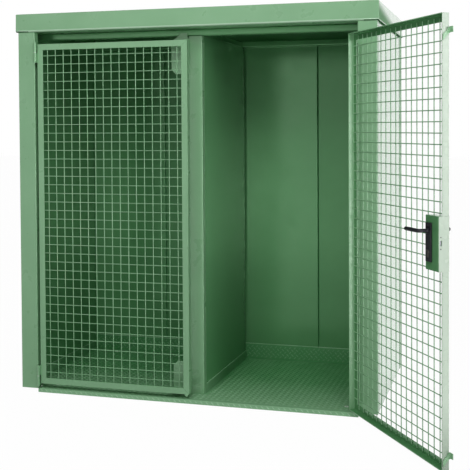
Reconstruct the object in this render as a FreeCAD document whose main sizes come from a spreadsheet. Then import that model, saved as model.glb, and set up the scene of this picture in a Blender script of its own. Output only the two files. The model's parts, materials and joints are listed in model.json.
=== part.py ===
import FreeCAD, Part
import math
import os
import re
from types import SimpleNamespace
import Sketcher

# Store for upright gas cylinders, welded from folded sheet: two compartments under one roof cap.
# Each compartment has a door of angle steel and welded wire mesh on lift-off barrel hinges.
# Frame: origin on the ground at the middle of the base, +Z up, the doors face -Y, +X to the right.
# The right door stands open at rest, as far as open_angle says.

# Driving dimensions, in millimetres and degrees
SIZES = {
    # carcass
    "body_width": 2110,          # over the two front corner posts
    "body_depth": 1000,          # from the post faces to the rear posts
    "overall_height": 2213,      # ground to the top of the roof
    "fascia_height": 105,        # upright band round the roof
    "roof_overhang": 10,         # roof cap past the body on every side
    "roof_return": 25,           # folded lip under the fascia at the sides and rear
    "sheet": 2,                  # walls, posts and roof
    "post_face": 105,            # front face of a corner post
    "post_flank": 60,            # fold of a corner post along the side wall
    "post_return": 40,           # fold of a corner post into the door opening
    "post_foot": 22,             # ground to the foot of posts and walls
    "rail": 40,                  # square roof rails and header
    "header_recess": 118,        # post faces back to the header and partition
    "partition_width": 80,
    "partition_post_depth": 40,
    "partition_gap": 20,         # slit left between the partition and the rear wall
    "partition_fold": 20,        # stiffening fold at the rear of each partition sheet
    "partition_rail_inset": 10,  # the rail over the partition sits back from its sheets
    "back_fold": 35,             # folded edges of the rear panels
    "back_seam": 3,              # joint between two rear panels
    # floor
    "floor_level": 24,           # ground to the top of the tread plate, and its front lip
    "tread_plate": 5,
    "bearer_width": 50,
    "bearer_setback": 12,        # bearer ends behind the front lip
    "bearer_from_side": 125,     # middle of the outer bearers from the sides of the body
    "kick_height": 55,           # strips along walls and partition
    "kick_plate": 3,
    "rear_kick_height": 100,
    "anchor_hole": 14,           # diameter of the floor anchor holes
    "anchor_from_side": 186,     # anchor holes from the sides of the body
    "anchor_from_front": 93,     # anchor holes from its front and rear
    "floor_clearance": 1,        # play between floor plate and posts
    # doors
    "door_gap": 14,              # between the two doors, both shut
    "door_headroom": 71,         # top of the doors to the underside of the roof
    "door_lift": 28,             # floor to the underside of the doors
    "hinge_gap": 18,             # post to door edge
    "angle_leg": 35,             # both legs of the angle steel
    "angle_wall": 4,
    "open_angle": 125.9,         # right door at rest
    "wire": 5,                   # mesh wire diameter
    "mesh_pitch": 50,
    "mesh_inset": 15,            # wire ends in from the door edge
    # hinges
    "barrel": 16,                # outside diameter of a hinge barrel
    "hinge_half": 58,            # height of one half
    "hinge_from_end": 48,        # joint of the two halves from the door's end
    "hinge_proud": 12,           # pin axis in front of the post faces
    "hinge_lug": 6,              # thickness of the weld lug
    "lug_weld": 15,              # lug behind the post faces
    "pin": 8,
    "running_play": 0.05,        # radial play of pins and the key plug
    "washer": 2,
    # stop brackets on the left door
    "stop_plate": 4,
    "stop_width": 109,
    "stop_from_leg": 23,         # plate to the leg at the door's free edge
    "stop_body": 192,            # height of the upper bracket without its tongue
    "stop_tongue": 40,
    "stop_low_body": 165,        # height of the lower bracket without its tongue
    "stop_low_tongue": 14,
    "stop_past_door": 9,         # body of the bracket past the door's end
    "stop_corner": 25,           # cut corner
    "stop_play": 2,              # bracket to partition post, door shut
    # foot under the left door
    "foot_width": 24,            # where it joins the door
    "foot_tip": 8,
    "foot_drop": 12,
    # overlap tabs on the right door
    "tab_plate": 4,
    "tab_height": 26,
    "tab_rise": 35,
    "tab_reach": 26,
    "tab_foot": 33,
    "tab_play": 1.5,             # tab to the face of the left door
    "tab_from_top": 120,
    "tab_from_bottom": 22,
    # lock
    "lock_width": 110,           # free edge of the door to the far side of the case
    "lock_above": 67,            # case above the lever axis
    "lock_below": 174,           # case below the lever axis
    "lock_wall": 2,
    "cover_plate": 3,
    "forend": 2,                 # plate over the door's edge with the bolt's slot
    "lever_from_edge": 76,       # lever axis from the free edge
    "lever_height": 1042.5,      # lever axis above the foot of the door
    "cylinder_drop": 92,         # lever axis down to the key plug
    "backplate_width": 45,
    "backplate_above": 35,
    "backplate_below": 137,
    "backplate": 8,
    "neck": 17,                  # lever neck and grip diameter
    "neck_reach": 46,            # backplate to the middle of the grip
    "neck_bend": 16,             # bend radius of the lever
    "grip": 122,                 # lever axis to the end of the grip
    "neck_play": 0.5,            # lever neck to the backplate face
    "spindle": 8,
    "spindle_depth": 30,         # spindle inside each lever
    "bolt_depth": 10,
    "bolt_height": 22,
    "bolt_length": 72,
    "bolt_drop": 49,             # lever axis down to the bolt
    "bolt_tip": 2,               # bolt tip inside the free edge, drawn back
    "bolt_behind_leg": 2,        # bolt behind the angle's inner edge
    "bolt_play": 0.3,
    "bolt_room": 3,              # bolt to the inner face of the case
    "cylinder_round": 17,
    "cylinder_tail": 10,
    "cylinder_height": 33,
    "cylinder_proud": 2,         # cylinder end past the backplate
    "plug": 13,
    "key_slot": 2.5,
    "key_slot_height": 8,
    "screw_head": 9,
    "screw_head_height": 3,
    "screw_from_end": 12,
    "forend_screw": 6,           # head on the forend
    "forend_screw_height": 1,
    "forend_screw_spacing": 51,  # above and below the bolt
}

# Doors that fit the body's opening, and a lock case as deep as its bolt behind the door's leg needs
FITTED = {
    "door_width": "=(body_width - 2 * post_face - 2 * hinge_gap - door_gap) / 2",
    "door_height": "=overall_height - fascia_height - door_headroom - floor_level - door_lift",
    "lock_depth": "=angle_leg + bolt_behind_leg + bolt_depth + bolt_room + lock_wall",
}
SHEET = SIZES | FITTED

doc = FreeCAD.newDocument("gas_cylinder_store")
dim = doc.addObject("Spreadsheet::Sheet", "Dim")
for row, (alias, value) in enumerate(SHEET.items(), 1):
    dim.set(f"A{row}", str(value))
    dim.setAlias(f"A{row}", alias)
doc.recompute()
s = SimpleNamespace(**{alias: float(dim.get(alias)) for alias in SHEET})

Vector = FreeCAD.Vector
UPRIGHT = FreeCAD.Rotation()
nodes = []


# Helpers: formulas, placing, simple solids and folded sections

def formula(text):
    """Turn size names in a formula into references to the sheet."""
    def refer(word):
        return "Dim." + word.group() if word.group() in SHEET else word.group()
    return re.sub(r"[a-z_]+", refer, text)


def bind(obj, **formulas):
    """Bind properties of an object to formulas of the sheet's sizes."""
    for name, text in formulas.items():
        obj.setExpression(name, formula(text))


def place(obj, corner, turn=UPRIGHT, carrier=None):
    """Set an object at a place in the cabinet, turned with the door that carries it."""
    spot = FreeCAD.Placement(Vector(*corner), turn)
    obj.Placement = carrier.multiply(spot) if carrier else spot


def add(kind, label):
    obj = doc.addObject(kind, label)
    obj.Label = label
    return obj


def node(obj):
    """Count an object as a sub-part of its own."""
    nodes.append(obj)
    return obj


def bar(label, length, width, height, corner, carrier=None):
    """A plain rectangular bar or sheet from its lowest corner."""
    obj = add("Part::Box", label)
    bind(obj, Length=length, Width=width, Height=height)
    place(obj, corner, carrier=carrier)
    return obj


def tube(label, length, width, height, corner, along):
    """A rectangular tube from its lowest corner, open at both ends."""
    walls = s.sheet
    if along == "X":
        inner = (length, f"{width} - 2 * sheet", f"{height} - 2 * sheet")
        inner_corner = (corner[0], corner[1] + walls, corner[2] + walls)
    else:
        inner = (f"{length} - 2 * sheet", width, f"{height} - 2 * sheet")
        inner_corner = (corner[0] + walls, corner[1], corner[2] + walls)
    block = bar(label + "_block", length, width, height, corner)
    return cut(label, block, bar(label + "_hollow", *inner, inner_corner))


def rod(label, radius, height, foot, turn=UPRIGHT, carrier=None):
    """A round rod from the middle of its foot."""
    obj = add("Part::Cylinder", label)
    bind(obj, Radius=radius, Height=height)
    place(obj, foot, turn, carrier)
    return obj


def cut(label, base, *tools):
    """A piece with one or more tools taken out of it."""
    obj = add("Part::Cut", label)
    obj.Base = base
    if len(tools) == 1:
        obj.Tool = tools[0]
    else:
        obj.Tool = joined(label + "_tools", *tools)
    return obj


def joined(label, *pieces):
    """Pieces welded or cast into one solid."""
    obj = add("Part::MultiFuse", label)
    obj.Shapes = list(pieces)
    obj.Refine = True
    return obj


def group(label, pieces):
    """Like pieces that stay separate solids."""
    obj = add("Part::Compound", label)
    obj.Links = pieces
    return obj


def mirrored(label, source):
    """The right hand copy of a left hand piece."""
    obj = add("Part::Mirroring", label)
    obj.Source = source
    obj.Normal = Vector(1, 0, 0)
    return obj


def new_body(label):
    return add("PartDesign::Body", label)


def outline(body, name, plane, corners):
    """A closed sketch of straight lines on an origin plane; each corner is a pair of formulas."""
    sketch = body.newObject("Sketcher::SketchObject", name)
    role = plane + "_Plane"
    support = [feature for feature in body.Origin.OriginFeatures if feature.Role == role][0]
    sketch.AttachmentSupport = [(support, "")]
    sketch.MapMode = "FlatFace"
    count = len(corners)
    steps = [2 * math.pi * k / count for k in range(count)]
    ring = [Vector(math.cos(step), math.sin(step), 0) for step in steps]
    for k in range(count):
        sketch.addGeometry(Part.LineSegment(ring[k], ring[(k + 1) % count]), False)
    for k in range(count):
        sketch.addConstraint(Sketcher.Constraint("Coincident", k, 2, (k + 1) % count, 1))
    for k, (across, along) in enumerate(corners):
        for kind, axis, text in (("DistanceX", -2, across), ("DistanceY", -1, along)):
            if text == "0":
                sketch.addConstraint(Sketcher.Constraint("PointOnObject", k, 1, axis))
            else:
                index = sketch.addConstraint(Sketcher.Constraint(kind, -1, 1, k, 1, 1.0))
                sketch.setExpression(f"Constraints[{index}]", formula(text))
    return sketch


def pad(body, sketch, length, backwards=False):
    feature = body.newObject("PartDesign::Pad", sketch.Name + "_pad")
    feature.Profile = sketch
    bind(feature, Length=length)
    feature.Reversed = backwards
    return feature


def section(label, plane, corners, length, backwards=False):
    """A folded section: one outline padded to its length."""
    body = new_body(label)
    pad(body, outline(body, label + "_outline", plane, corners), length, backwards)
    return body


# Places worked out from the driving dimensions

half_width = s.body_width / 2
front = -s.body_depth / 2
rear = s.body_depth / 2
wall_inside = half_width - 2 * s.sheet
eaves = s.overall_height - s.fascia_height
rail_level = eaves - s.rail
header_face = front + s.header_recess
header_rear = header_face + s.rail
back_face = rear - s.back_fold - s.sheet
half_partition = s.partition_width / 2
partition_rear = back_face - s.partition_gap
partition_sheet_start = header_face + s.partition_post_depth
door_foot = s.floor_level + s.door_lift
door_top = door_foot + s.door_height
opening_half = half_width - s.post_face
hinge_x = opening_half - s.hinge_gap / 2
hinge_y = front - s.hinge_proud
door_edge = opening_half - s.hinge_gap
free_edge = door_edge - s.door_width
mesh_face = front + s.angle_wall
lever_x = free_edge + s.lever_from_edge
lever_z = door_foot + s.lever_height
lock_far_x = free_edge + s.lock_width
lock_foot = lever_z - s.lock_below
lock_top = lever_z + s.lock_above

WALL_HEIGHT = "overall_height - fascia_height - post_foot"
CLEAR_HEIGHT = "overall_height - fascia_height - rail - floor_level"

# Turn of the right door about its hinge pins, from shut to its place at rest
RIGHT_DOOR = FreeCAD.Placement(
    Vector(0, 0, 0),
    FreeCAD.Rotation(Vector(0, 0, 1), s.open_angle),
    Vector(hinge_x, hinge_y, 0),
)


# Floor: tread plate notched round the posts, with a front lip folded down to the ground

floor = new_body("floor_plate")
NOTCH = "(post_face + floor_clearance)"
FLOOR_WIDTH = "body_width - 4 * sheet"
FLOOR_DEPTH = "body_depth - back_fold - sheet"
floor_sketch = outline(floor, "floor_outline", "XY", [
    (f"{NOTCH} - 2 * sheet", "0"),
    (f"{FLOOR_WIDTH} - {NOTCH} + 2 * sheet", "0"),
    (f"{FLOOR_WIDTH} - {NOTCH} + 2 * sheet", "post_flank + floor_clearance"),
    (FLOOR_WIDTH, "post_flank + floor_clearance"),
    (FLOOR_WIDTH, FLOOR_DEPTH),
    ("0", FLOOR_DEPTH),
    ("0", "post_flank + floor_clearance"),
    (f"{NOTCH} - 2 * sheet", "post_flank + floor_clearance"),
])
pad(floor, floor_sketch, "tread_plate")
lip_sketch = outline(floor, "floor_lip_outline", "XY", [
    (f"{NOTCH} - 2 * sheet", "0"),
    (f"{FLOOR_WIDTH} - {NOTCH} + 2 * sheet", "0"),
    (f"{FLOOR_WIDTH} - {NOTCH} + 2 * sheet", "tread_plate"),
    (f"{NOTCH} - 2 * sheet", "tread_plate"),
])
pad(floor, lip_sketch, "floor_level - tread_plate", backwards=True)
doc.recompute()
solid_floor_volume = floor.Shape.Volume
hole_sketch = floor.newObject("Sketcher::SketchObject", "anchor_hole_outline")
hole_sketch.AttachmentSupport = floor_sketch.AttachmentSupport
hole_sketch.MapMode = "FlatFace"
for k, (side, end) in enumerate(((-1, -1), (1, -1), (1, 1), (-1, 1))):
    hole_sketch.addGeometry(Part.Circle(Vector(k + 1, k + 1, 0), Vector(0, 0, 1), 1), False)
    for kind, text in (
        ("DistanceX", f"({FLOOR_WIDTH}) / 2 + {side} * (body_width / 2 - anchor_from_side)"),
        ("DistanceY", f"body_depth / 2 + {end} * (body_depth / 2 - anchor_from_front)"),
    ):
        index = hole_sketch.addConstraint(Sketcher.Constraint(kind, -1, 1, k, 3, 1.0))
        hole_sketch.setExpression(f"Constraints[{index}]", formula(text))
    index = hole_sketch.addConstraint(Sketcher.Constraint("Radius", k, 1.0))
    hole_sketch.setExpression(f"Constraints[{index}]", formula("anchor_hole / 2"))
anchor_holes = floor.newObject("PartDesign::Pocket", "anchor_holes")
anchor_holes.Profile = hole_sketch
anchor_holes.Reversed = True
bind(anchor_holes, Length="tread_plate")
place(floor, (-wall_inside, front, s.floor_level - s.tread_plate))
doc.recompute()
if floor.Shape.Volume >= solid_floor_volume:
    raise RuntimeError("the anchor holes cut nothing")
node(floor)

bearer_spread = half_width - s.bearer_from_side
bearers = []
for k, share in enumerate((-1, -0.5, 0, 0.5, 1)):
    bearers.append(tube(
        f"floor_bearer_{k + 1}", "bearer_width", f"({FLOOR_DEPTH} - tread_plate - 2 * bearer_setback)",
        "(floor_level - tread_plate)",
        (share * bearer_spread - s.bearer_width / 2, front + s.tread_plate + s.bearer_setback, 0), "Y",
    ))
node(group("floor_bearers", bearers))

# Corner posts: folded channels at the front, angles at the rear

left_front_post = section("left_front_post", "XY", [
    ("0", "0"),
    ("post_face", "0"),
    ("post_face", "post_return"),
    ("post_face - sheet", "post_return"),
    ("post_face - sheet", "sheet"),
    ("sheet", "sheet"),
    ("sheet", "post_flank"),
    ("0", "post_flank"),
], WALL_HEIGHT)
place(left_front_post, (-half_width, front, s.post_foot))
node(left_front_post)
node(mirrored("right_front_post", left_front_post))

left_rear_post = section("left_rear_post", "XY", [
    ("0", "0"),
    ("sheet", "0"),
    ("sheet", "post_flank - sheet"),
    ("post_flank", "post_flank - sheet"),
    ("post_flank", "post_flank"),
    ("0", "post_flank"),
], WALL_HEIGHT)
place(left_rear_post, (-half_width, rear - s.post_flank, s.post_foot))
node(left_rear_post)
node(mirrored("right_rear_post", left_rear_post))

# Walls: one sheet each side, four folded panels across the rear

left_wall = bar(
    "left_side_wall", "sheet", "body_depth - 2 * sheet", WALL_HEIGHT,
    (-half_width + s.sheet, front + s.sheet, s.post_foot),
)
node(left_wall)
node(mirrored("right_side_wall", left_wall))

PANEL = "(body_width - 4 * sheet - 3 * back_seam) / 4"
panel_width = (2 * wall_inside - 3 * s.back_seam) / 4
for k, name in enumerate(("far_left", "left", "right", "far_right")):
    panel = section(f"back_panel_{name}", "XY", [
        ("0", "0"),
        (PANEL, "0"),
        (PANEL, "back_fold"),
        (f"{PANEL} - sheet", "back_fold"),
        (f"{PANEL} - sheet", "sheet"),
        ("sheet", "sheet"),
        ("sheet", "back_fold"),
        ("0", "back_fold"),
    ], WALL_HEIGHT)
    place(panel, (-wall_inside + k * (panel_width + s.back_seam), back_face, s.post_foot))
    node(panel)

# Header and rails: square tubes under the roof

node(tube(
    "front_header", "(body_width - 4 * sheet)", "rail", "rail", (-wall_inside, header_face, rail_level), "X",
))
node(tube(
    "back_top_rail", "(body_width - 4 * sheet)", "rail", "rail",
    (-wall_inside, back_face - s.rail, rail_level), "X",
))
RAIL_RUN = "(body_depth - header_recess - back_fold - sheet - 2 * rail)"
left_rail = tube("left_top_rail", "rail", RAIL_RUN, "rail", (-wall_inside, header_rear, rail_level), "Y")
node(left_rail)
node(mirrored("right_top_rail", left_rail))
node(tube(
    "partition_top_rail", "(partition_width - 2 * partition_rail_inset)", RAIL_RUN, "rail",
    (-half_partition + s.partition_rail_inset, header_rear, rail_level), "Y",
))

# Partition: a folded post behind the meeting doors and a sheet on each side of it

partition_post = section("partition_post", "XY", [
    ("0", "0"),
    ("partition_width", "0"),
    ("partition_width", "partition_post_depth"),
    ("partition_width - sheet", "partition_post_depth"),
    ("partition_width - sheet", "sheet"),
    ("sheet", "sheet"),
    ("sheet", "partition_post_depth"),
    ("0", "partition_post_depth"),
], CLEAR_HEIGHT)
place(partition_post, (-half_partition, header_face, s.floor_level))
node(partition_post)

PARTITION_RUN = (
    "(body_depth - header_recess - back_fold - sheet - partition_gap - partition_post_depth)"
)
left_partition = section("partition_left_sheet", "XY", [
    ("0", "0"),
    ("sheet", "0"),
    ("sheet", f"{PARTITION_RUN} - sheet"),
    ("partition_fold", f"{PARTITION_RUN} - sheet"),
    ("partition_fold", PARTITION_RUN),
    ("0", PARTITION_RUN),
], CLEAR_HEIGHT)
place(left_partition, (-half_partition, partition_sheet_start, s.floor_level))
node(left_partition)
node(mirrored("partition_right_sheet", left_partition))

# Kick strips: flat strips where walls and partition meet the floor

left_kick = bar(
    "left_kick_plate", "kick_plate",
    f"{FLOOR_DEPTH} - post_flank - floor_clearance - tread_plate", "kick_height",
    (-wall_inside, front + s.post_flank + s.floor_clearance, s.floor_level),
)
node(left_kick)
node(mirrored("right_kick_plate", left_kick))
partition_kick = bar(
    "partition_left_kick_plate", "kick_plate", PARTITION_RUN, "kick_height",
    (-half_partition - s.kick_plate, partition_sheet_start, s.floor_level),
)
node(partition_kick)
node(mirrored("partition_right_kick_plate", partition_kick))
rear_kick = bar(
    "rear_left_kick_plate", "body_width / 2 - 2 * sheet - back_seam / 2", "tread_plate", "rear_kick_height",
    (-wall_inside, back_face - s.tread_plate, s.floor_level),
)
node(rear_kick)
node(mirrored("rear_right_kick_plate", rear_kick))

# Roof: a cap with a deep fascia, closed below by a soffit in front and narrow lips elsewhere

ROOF_WIDTH = "body_width + 2 * roof_overhang"
ROOF_DEPTH = "body_depth + 2 * roof_overhang"
roof_left = -half_width - s.roof_overhang
roof_front = front - s.roof_overhang
roof_block = bar("roof_block", ROOF_WIDTH, ROOF_DEPTH, "fascia_height", (roof_left, roof_front, eaves))
roof_hollow = bar(
    "roof_hollow", f"{ROOF_WIDTH} - 2 * sheet", f"{ROOF_DEPTH} - 2 * sheet", "fascia_height - 2 * sheet",
    (roof_left + s.sheet, roof_front + s.sheet, eaves + s.sheet),
)
roof_mouth = bar(
    "roof_mouth", f"{ROOF_WIDTH} - 2 * roof_return",
    f"{ROOF_DEPTH} - roof_overhang - header_recess - rail - roof_return", "2 * sheet",
    (roof_left + s.roof_return, header_rear, eaves - s.sheet),
)
node(cut("roof_cover", roof_block, roof_hollow, roof_mouth))

# Hinges: two barrels a door, each a pair of halves on one pin with a washer between.
# At the top the post carries the upper half and at the foot the lower, so a shut door can't be lifted off.


def hinge_half(label, sense, foot, carrier=None, on_door=False):
    """One half: a bored barrel and the lug that welds it to the post or to the door."""
    axis_x = sense * hinge_x
    towards = -sense if on_door else sense
    lug_corner = axis_x + towards * s.hinge_gap / 2 - (s.hinge_lug if towards > 0 else 0)
    barrel = rod(label + "_barrel", "barrel / 2", "hinge_half", (axis_x, hinge_y, foot), carrier=carrier)
    lug = bar(
        label + "_lug", "hinge_lug", "hinge_proud + lug_weld", "hinge_half",
        (lug_corner, hinge_y, foot), carrier=carrier,
    )
    bore = rod(
        label + "_bore", "pin / 2 + running_play", "hinge_half", (axis_x, hinge_y, foot), carrier=carrier,
    )
    return cut(label, joined(label + "_blank", barrel, lug), bore)


post_halves = []
pins = []
washers = []
door_halves = {"left": [], "right": []}
for side, sense, carrier in (("left", -1, None), ("right", 1, RIGHT_DOOR)):
    for end, parting, post_above in (
        ("top", door_top - s.hinge_from_end, True),
        ("foot", door_foot + s.hinge_from_end, False),
    ):
        above = parting + s.washer / 2
        below = parting - s.washer / 2 - s.hinge_half
        post_foot = above if post_above else below
        door_half_foot = below if post_above else above
        name = f"{side}_{end}_hinge"
        post_halves.append(hinge_half(name + "_on_post", sense, post_foot))
        door_halves[side].append(hinge_half(name + "_on_door", sense, door_half_foot, carrier, on_door=True))
        axis_foot = (sense * hinge_x, hinge_y, below)
        pins.append(rod(name + "_pin", "pin / 2", "2 * hinge_half + washer", axis_foot))
        washer_foot = (sense * hinge_x, hinge_y, parting - s.washer / 2)
        ring = rod(name + "_ring", "barrel / 2", "washer", washer_foot)
        eye = rod(name + "_eye", "pin / 2 + running_play", "washer", washer_foot)
        washers.append(cut(name + "_washer", ring, eye))
node(group("hinge_post_halves", post_halves))
node(group("hinge_pins", pins))
node(group("hinge_washers", washers))
for side in door_halves:
    node(group(f"{side}_hinge_door_halves", door_halves[side]))

# Doors: mitred angle frames with the mesh welded behind the front legs


def angle_member(label, length, corner, turn, carrier):
    """One mitred length of angle: a wide front leg and a leg standing into the cabinet."""
    body = new_body(label)
    front_leg = outline(body, label + "_front_leg", "XZ", [
        ("0", "0"), (length, "0"), (f"{length} - angle_leg", "angle_leg"), ("angle_leg", "angle_leg"),
    ])
    pad(body, front_leg, "angle_wall", backwards=True)
    edge_leg = outline(body, label + "_edge_leg", "XZ", [
        ("0", "0"), (length, "0"), (f"{length} - angle_wall", "angle_wall"), ("angle_wall", "angle_wall"),
    ])
    pad(body, edge_leg, "angle_leg", backwards=True)
    place(body, corner, turn, carrier)
    return body


def about_y(degrees):
    return FreeCAD.Rotation(Vector(0, 1, 0), degrees)


for side, low_x, carrier in (("left", -door_edge, None), ("right", free_edge, RIGHT_DOOR)):
    high_x = low_x + s.door_width
    stile_names = ("hinge", "free") if side == "left" else ("free", "hinge")
    node(angle_member(
        f"{side}_door_bottom_rail", "door_width", (low_x, front, door_foot), UPRIGHT, carrier,
    ))
    node(angle_member(
        f"{side}_door_top_rail", "door_width", (high_x, front, door_top), about_y(180), carrier,
    ))
    node(angle_member(
        f"{side}_door_{stile_names[0]}_stile", "door_height",
        (low_x, front, door_top), about_y(90), carrier,
    ))
    node(angle_member(
        f"{side}_door_{stile_names[1]}_stile", "door_height",
        (high_x, front, door_foot), about_y(-90), carrier,
    ))

    # As many whole meshes as leave half a pitch or more beside the legs
    columns = int((s.door_width - 2 * s.angle_leg - s.mesh_pitch) // s.mesh_pitch) + 1
    rows = int((s.door_height - 2 * s.angle_leg - s.mesh_pitch) // s.mesh_pitch) + 1
    first_x = low_x + (s.door_width - (columns - 1) * s.mesh_pitch) / 2
    first_z = door_foot + (s.door_height - (rows - 1) * s.mesh_pitch) / 2
    wire_foot = door_foot + s.mesh_inset
    uprights = []
    for k in range(columns):
        x = first_x + k * s.mesh_pitch
        runs = [("", wire_foot, "door_height - 2 * mesh_inset")]
        if side == "right" and x < lock_far_x + s.wire:
            runs = [
                ("_below", wire_foot, "lever_height - lock_below - mesh_inset"),
                ("_above", lock_top, "door_height - lever_height - lock_above - mesh_inset"),
            ]
        for end, foot, length in runs:
            uprights.append(rod(
                f"{side}_upright_{k + 1}{end}", "wire / 2", length,
                (x, mesh_face + s.wire / 2, foot), carrier=carrier,
            ))
    node(group(f"{side}_mesh_uprights", uprights))
    cross_wires = []
    for k in range(rows):
        z = first_z + k * s.mesh_pitch
        wire_start = low_x + s.mesh_inset
        length = "door_width - 2 * mesh_inset"
        if side == "right" and lock_foot - s.wire < z < lock_top + s.wire:
            wire_start = lock_far_x
            length = "door_width - mesh_inset - lock_width"
        cross_wires.append(rod(
            f"{side}_cross_wire_{k + 1}", "wire / 2", length,
            (wire_start, mesh_face + 1.5 * s.wire, z), about_y(90), carrier,
        ))
    node(group(f"{side}_mesh_cross_wires", cross_wires))

# Left door: bent stop brackets that rest on the partition post and the header


def stop_bracket(label, height, tongue, corner):
    """A plate with a tongue, and the flat arm that carries it off the door's rail."""
    body = new_body(label)
    plate = outline(body, label + "_plate", "XZ", [
        ("stop_corner", "0"),
        ("stop_width", "0"),
        ("stop_width", height),
        ("stop_width - stop_corner * 0.5", f"{height} + {tongue} / 2"),
        ("stop_width - stop_corner * 0.5", f"{height} + {tongue}"),
        ("stop_width - stop_corner * 1.9", f"{height} + {tongue}"),
        ("stop_corner * 0.4", height),
        ("0", f"{height} - stop_corner * 0.4"),
        ("0", "stop_corner"),
    ])
    pad(body, plate, "stop_plate", backwards=True)
    arm_top = f"{height} - stop_past_door - angle_wall"
    arm = outline(body, label + "_arm", "XZ", [
        ("0", f"{arm_top} - stop_plate"),
        ("stop_width", f"{arm_top} - stop_plate"),
        ("stop_width", arm_top),
        ("0", arm_top),
    ])
    pad(body, arm, "header_recess - stop_play - stop_plate - angle_wall")
    place(body, corner)
    return body


stop_left = -free_edge - s.angle_wall - s.stop_from_leg - s.stop_width
stop_y = header_face - s.stop_play - s.stop_plate
node(stop_bracket(
    "left_door_top_stop", "stop_body", "stop_tongue",
    (stop_left, stop_y, door_top + s.stop_past_door - s.stop_body),
))
lower_stop = stop_bracket("lower_stop_blank", "stop_low_body", "stop_low_tongue", (stop_left, stop_y, 0))
turned_over = add("Part::Mirroring", "left_door_bottom_stop")
turned_over.Source = lower_stop
turned_over.Normal = Vector(0, 0, 1)
turned_over.Base = Vector(0, 0, (door_foot - s.stop_past_door + s.stop_low_body) / 2)
node(turned_over)

# Left door: a tapered foot under its free corner, which guides the door over the floor's lip

foot = new_body("left_door_foot")
foot_face = outline(foot, "left_door_foot_face", "XZ", [
    ("(foot_width - foot_tip) / 2", "0"),
    ("(foot_width + foot_tip) / 2", "0"),
    ("foot_width", "foot_drop"),
    ("0", "foot_drop"),
])
pad(foot, foot_face, "angle_wall", backwards=True)
place(foot, (-free_edge - (s.angle_leg + s.foot_width) / 2, front, door_foot - s.foot_drop))
node(foot)

# Right door: tabs that lap over the left door and hold it shut


def overlap_tab(label, foot):
    """A bent strip: a rising foot on the door's edge and a tab in front of the other door."""
    body = new_body(label)
    rising = outline(body, label + "_foot", "YZ", [
        ("tab_plate + tab_foot", "0"),
        ("tab_plate + tab_foot", "tab_height"),
        ("tab_plate", "tab_height + tab_rise"),
        ("0", "tab_height + tab_rise"),
        ("0", "tab_rise"),
        ("tab_plate", "tab_rise"),
    ])
    pad(body, rising, "tab_plate")
    tab = outline(body, label + "_tab", "YZ", [
        ("0", "tab_rise"),
        ("tab_plate", "tab_rise"),
        ("tab_plate", "tab_height + tab_rise"),
        ("0", "tab_height + tab_rise"),
    ])
    pad(body, tab, "tab_reach - tab_plate", backwards=True)
    place(body, (free_edge - s.tab_plate, front - s.tab_play - s.tab_plate, foot), carrier=RIGHT_DOOR)
    return body


node(group("overlap_tabs", [
    overlap_tab("top_tab", door_top - s.tab_from_top),
    overlap_tab("bottom_tab", door_foot + s.tab_from_bottom),
]))

# Lock: a box let into the mesh, its forend over the door's edge, a cover plate flush with the frame,
# and a backplate and a lever on each face

case_x = free_edge + s.angle_wall
case_front = mesh_face
case_rear = front + s.lock_depth
bolt_y = front + s.angle_leg + s.bolt_behind_leg
bolt_z = lever_z - s.bolt_drop - s.bolt_height / 2
plug_z = lever_z - s.cylinder_drop
FACING = FreeCAD.Rotation(Vector(1, 0, 0), -90)
CASE_HEIGHT = "lock_above + lock_below"
CASE_DEPTH = "lock_depth - angle_wall"
CASE_WIDTH = "lock_width - angle_wall"


def lock_bar(label, length, width, height, corner):
    return bar(label, length, width, height, corner, RIGHT_DOOR)


def lock_rod(label, radius, length, foot):
    """A round piece across the door, from its outer end."""
    return rod(label, radius, length, foot, FACING, RIGHT_DOOR)


def cylinder_shape(label, length, outer_y, play):
    """The round body and narrow tail of the key cylinder, or the hole for it."""
    body = lock_rod(label + "_round", f"cylinder_round / 2 + {play}", length, (lever_x, outer_y, plug_z))
    tail = lock_bar(
        label + "_tail", f"cylinder_tail + 2 * {play}", length,
        f"cylinder_height - cylinder_round / 2 + {play}",
        (
            lever_x - s.cylinder_tail / 2 - getattr(s, play, 0),
            outer_y,
            plug_z - s.cylinder_height + s.cylinder_round / 2 - getattr(s, play, 0),
        ),
    )
    return joined(label, body, tail)


case_block = lock_bar("lock_block", CASE_WIDTH, CASE_DEPTH, CASE_HEIGHT, (case_x, case_front, lock_foot))
case_hollow = lock_bar(
    "lock_hollow", f"{CASE_WIDTH} - 2 * lock_wall",
    f"{CASE_DEPTH} - lock_wall", f"{CASE_HEIGHT} - 2 * lock_wall",
    (case_x + s.lock_wall, case_front, lock_foot + s.lock_wall),
)
bolt_slot = lock_bar(
    "bolt_slot", "lock_wall", "bolt_depth + 2 * bolt_play", "bolt_height + 2 * bolt_play",
    (case_x, bolt_y - s.bolt_play, bolt_z - s.bolt_play),
)
case_eye = lock_rod("case_spindle_eye", "neck / 2", "lock_wall", (lever_x, case_rear - s.lock_wall, lever_z))
case_key_hole = cylinder_shape("case_key_hole", "lock_wall", case_rear - s.lock_wall, "bolt_play")
node(cut("lock_case", case_block, case_hollow, bolt_slot, case_eye, case_key_hole))

forend_blank = lock_bar(
    "forend_blank", "forend", "lock_depth", CASE_HEIGHT, (free_edge - s.forend, front, lock_foot),
)
forend_slot = lock_bar(
    "forend_slot", "forend", "bolt_depth + 2 * bolt_play", "bolt_height + 2 * bolt_play",
    (free_edge - s.forend, bolt_y - s.bolt_play, bolt_z - s.bolt_play),
)
node(cut("lock_forend", forend_blank, forend_slot))

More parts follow.
